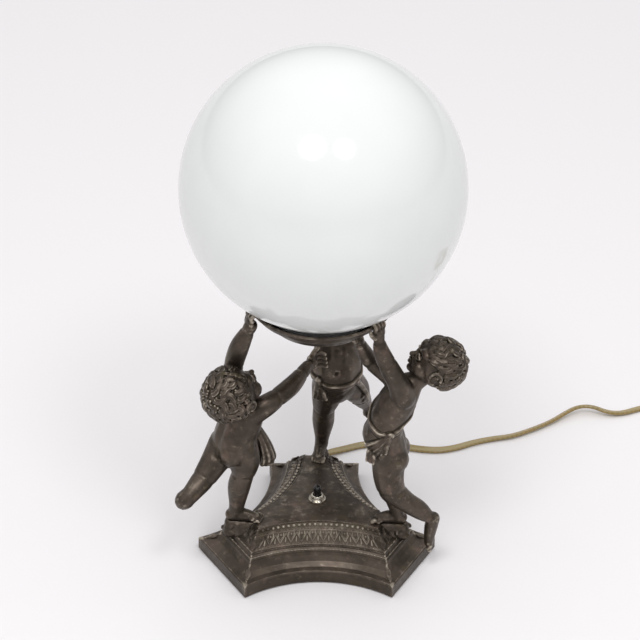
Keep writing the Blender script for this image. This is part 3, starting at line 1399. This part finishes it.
COIL_OUTER = 43.0
COIL_PITCH = 6.12
COIL_TUCK = 1.2
COIL_STEPS = 8  # points in each half turn
COIL_SWELL = 1.012  # a spline runs a little inside its points
HALF_TURNS = (7, 6)  # on the table, and in the layer over it
ON_TABLE = 1.5


def coil_route():
    """Points of the put-away turns: in on the table, up one layer, and out again."""
    half = COIL_PITCH / 2
    radii = [(COIL_OUTER - i * half, ON_TABLE) for i in range(HALF_TURNS[0])]
    inner = radii[-1][0] - half - COIL_TUCK
    upper = ON_TABLE + COIL_PITCH
    radii += [(inner, ON_TABLE), (inner, upper)]
    radii += [(radii[HALF_TURNS[0] - 1][0] + i * half, upper) for i in range(HALF_TURNS[1])]
    points = []
    for i, ((ra, za), (rb, zb)) in enumerate(zip(radii, radii[1:])):
        for k in range(COIL_STEPS):
            t = k / COIL_STEPS
            angle = pi / 2 - pi * (i + t)
            reach = (ra + (rb - ra) * t) * COIL_SWELL
            x, y = COIL_CENTRE[0] + reach * cos(angle), COIL_CENTRE[1] + reach * sin(angle)
            points.append((x, y, za + (zb - za) * t))
    return points


def cord_points():
    """The route's points in metres, free stretch, coil and tail in one line."""
    end = (COIL_CENTRE[0], COIL_CENTRE[1] + COIL_OUTER - COIL_PITCH / 2, ON_TABLE + COIL_PITCH)
    leaving = [(end[0] + away, *end[1:]) for away in (0, 10, 21.6)]
    return [Vector(p) * MM for p in (*FREE_ROUTE, *coil_route(), *leaving, *TAIL_ROUTE)]


def route_line(points):
    """The smooth line of the cord as an evenly read list of points."""
    curve = bpy.data.curves.new("cord_route", "CURVE")
    curve.dimensions = "3D"
    curve.resolution_u = 6
    spline = curve.splines.new("NURBS")
    spline.points.add(len(points) - 1)
    for knot, p in zip(spline.points, points):
        knot.co = (*p, 1.0)
    spline.order_u = 3
    spline.use_endpoint_u = True
    line = evaluated_mesh("cord_route", curve)
    out = [v.co.copy() for v in line.vertices]
    bpy.data.meshes.remove(line)
    return out


SECTION_STEPS = 12
ROLL_END = 0.33  # metres of cord from the base that roll off the flat
ROLL_ANGLE = radians(34)
ROLL_WAVE = 21.0


def twin_section(width):
    """Outline of two round cores side by side with a slim web, and how deep each point is in a core."""
    core = width / 4
    outline = []
    for hand in (1, -1):
        for k in range(SECTION_STEPS + 1):
            angle = (-0.5 + k / SECTION_STEPS) * pi * 1.36
            depth = 0.5 + 0.5 * cos(angle * 1.3)
            outline.append((hand * (core + core * cos(angle)), hand * core * sin(angle), depth))
    return outline


def sweep_cord(line, width):
    """The flat twin cord along the line, rolling slowly from flat to half on edge."""
    bm = bmesh.new()
    core_layer = bm.verts.layers.float.new("core")
    strand_layer = bm.verts.layers.float.new("strand")
    gone = 0.0
    rings = []
    path = []
    for i, p in enumerate(line):
        along = (line[min(i + 1, len(line) - 1)] - line[max(i - 1, 0)]).normalized()
        gone += (p - line[max(i - 1, 0)]).length
        flat = UP.cross(along).normalized()
        fade = max(0.0, min(1.0, gone / 0.03, (ROLL_END - gone) / 0.05))
        roll = ROLL_ANGLE * sin(gone * ROLL_WAVE) * fade
        wide = flat * cos(roll) + along.cross(flat) * sin(roll)
        deep = along.cross(wide)
        path.append(p + UP * abs(sin(roll)) * width / 4)
        ring = []
        for x, y, core in twin_section(width):
            vert = bm.verts.new(path[-1] + wide * x + deep * y)
            vert[core_layer] = core
            vert[strand_layer] = gone
            ring.append(vert)
        rings.append(closed_ring(bm, ring))
    skinned(bm, rings, lambda bm, ring: bmesh.ops.contextual_create(bm, geom=ring))
    return mesh_of(bm), path


class LAMP_OT_cord(bpy.types.Operator):
    """Lay the flat twin cord and put its spare length away in a coil"""

    bl_idname = "lamp.cord"
    bl_label = "Cord"

    def execute(self, context):
        width = sizes().cord_width
        mesh, path = sweep_cord(route_line(cord_points()), width)
        cord = place_piece("twin_cord", mesh, "vinyl", ("cord_run", "cord_coil", "cord_tail"), scale=1.0)
        return {"FINISHED"}


# ----------------------------------------------------------- carried-over parts
NODES_OF_FINISH = {
    "brass": "socket_nipple nipple_nut socket_cap socket_shell screw_shell centre_contact plug_blades",
    "steel": "foot_screws foot_washers",
    "nickel": "switch_lock_nut",
    "cap": "bulb_cap",
    "phenolic": "socket_core bulb_button switch_body cord_bushing",
    "fibre": "socket_liner",
    "felt": "base_felt dish_cushion",
    "frosted": "bulb_glass",
    "vinyl_plain": "riser_lead base_lead switch_lead plug_body",
}


class LAMP_OT_fittings(bpy.types.Operator):
    """Give every carried-over part its own finish, and let the return spring shorten"""

    bl_idname = "lamp.fittings"
    bl_label = "Fittings"

    def execute(self, context):
        for finish, names in NODES_OF_FINISH.items():
            for name in names.split():
                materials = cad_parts[name].data.materials
                materials.clear()
                materials.append(finish_of(finish))
        bm = bmesh.new()
        bm.from_mesh(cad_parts["switch_spring"].data)
        bmesh.ops.remove_doubles(bm, verts=bm.verts, dist=1e-6)
        mark_sharp(bm)
        spring = place_piece("return_spring", mesh_of(bm), "steel", ("switch_spring",), scale=1.0)
        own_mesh(spring)
        return {"FINISHED"}


# --------------------------------------------------------------------- stage
# The camera that sees the globe's outline and the base's corners as the photograph does.
CAMERA_PLACE = (-0.06195, -1.79638, 1.39716)
CAMERA_YAW = 0.034187
CAMERA_PITCH = 0.587804
CAMERA_ROLL = 0.019799
CAMERA_LENS = 168.75
# Place, width and power of the two soft lamps, and the point they face.
LAMPS = {"key_lamp": ((-0.30, -0.82, 1.9), 0.60, 8.5), "fill_lamp": ((0.42, -0.80, 1.8), 0.45, 5.0)}
LAMPS_FACE = (0, 0, 0.2)


def add_camera():
    level = Vector((cos(CAMERA_YAW), -sin(CAMERA_YAW), 0))
    ahead = UP.cross(level) * cos(CAMERA_PITCH) - UP * sin(CAMERA_PITCH)
    above = level.cross(ahead)
    right = level * cos(CAMERA_ROLL) + above * sin(CAMERA_ROLL)
    above = above * cos(CAMERA_ROLL) - level * sin(CAMERA_ROLL)
    data = bpy.data.cameras.new("photo_camera")
    data.lens = CAMERA_LENS
    data.clip_end = 20
    camera = bpy.data.objects.new("photo_camera", data)
    turn = Matrix((right, above, -ahead)).transposed()
    camera.matrix_world = Matrix.Translation(CAMERA_PLACE) @ turn.to_4x4()
    bpy.context.scene.collection.objects.link(camera)
    bpy.context.scene.camera = camera


def add_soft_lamp(name, place, size, power):
    data = bpy.data.lights.new(name, "AREA")
    data.shape = "DISK"
    data.size = size
    data.energy = power
    lamp = bpy.data.objects.new(name, data)
    lamp.location = place
    lamp.rotation_euler = (Vector(LAMPS_FACE) - Vector(place)).to_track_quat("-Z", "Y").to_euler()
    bpy.context.scene.collection.objects.link(lamp)


def add_sky():
    """A pale room: bright overhead and dimmer at the level of the table."""
    world = bpy.data.worlds.new("studio")
    world.use_nodes = True
    tree = world.node_tree
    tree.nodes.clear()
    height = add_node(tree, "SeparateXYZ", out="Z", Vector=add_node(tree, "TexCoord", out="Generated"))
    level = add_node(tree, "MapRange", Value=height, From_Max=0.8, To_Min=0.30, To_Max=1.02)
    add_node(tree, "OutputWorld", Surface=add_node(tree, "Background", Color="#F6F5F6", Strength=level))
    bpy.context.scene.world = world


class LAMP_OT_stage(bpy.types.Operator):
    """Set the pale table, the soft lamps and the camera"""

    bl_idname = "lamp.stage"
    bl_label = "Stage"

    def execute(self, context):
        bm = bmesh.new()
        bmesh.ops.create_grid(bm, x_segments=2, y_segments=2, size=6.0)
        mesh = mesh_of(bm, "table")
        mesh.materials.append(pale_table())
        table = bpy.data.objects.new("table", mesh)
        bpy.context.scene.collection.objects.link(table)
        for name, (place, size, power) in LAMPS.items():
            add_soft_lamp(name, place, size, power)
        add_sky()
        context.scene.view_settings.view_transform = "Standard"
        add_camera()
        return {"FINISHED"}


class LAMP_PT_panel(bpy.types.Panel):
    """Sizes, colours and building steps of the lamp"""

    bl_label = "Table Lamp"
    bl_space_type = "VIEW_3D"
    bl_region_type = "UI"
    bl_category = "Table Lamp"

    def draw(self, context):
        for group in (context.scene.lamp_sizes, context.scene.lamp_colours):
            for name in group.bl_rna.properties.keys():
                if name not in ("rna_type", "name"):
                    self.layout.prop(group, name)
        for step in STEPS:
            self.layout.operator(step.bl_idname)


STEPS = (
    LAMP_OT_stage,
    LAMP_OT_fittings,
    LAMP_OT_base,
    LAMP_OT_figures,
    LAMP_OT_dish,
    LAMP_OT_globe,
    LAMP_OT_switch,
    LAMP_OT_cord,
)
CLASSES = (LampSizes, LampColours, *STEPS, LAMP_PT_panel)


def register():
    for cls in CLASSES:
        bpy.utils.register_class(cls)
    bpy.types.Scene.lamp_sizes = bpy.props.PointerProperty(type=LampSizes)
    bpy.types.Scene.lamp_colours = bpy.props.PointerProperty(type=LampColours)


def unregister():
    del bpy.types.Scene.lamp_colours
    del bpy.types.Scene.lamp_sizes
    for cls in reversed(CLASSES):
        bpy.utils.unregister_class(cls)


def main():
    register()
    for step in STEPS:
        group, name = step.bl_idname.split(".")
        getattr(getattr(bpy.ops, group), name)()


if __name__ == "__main__":
    main()
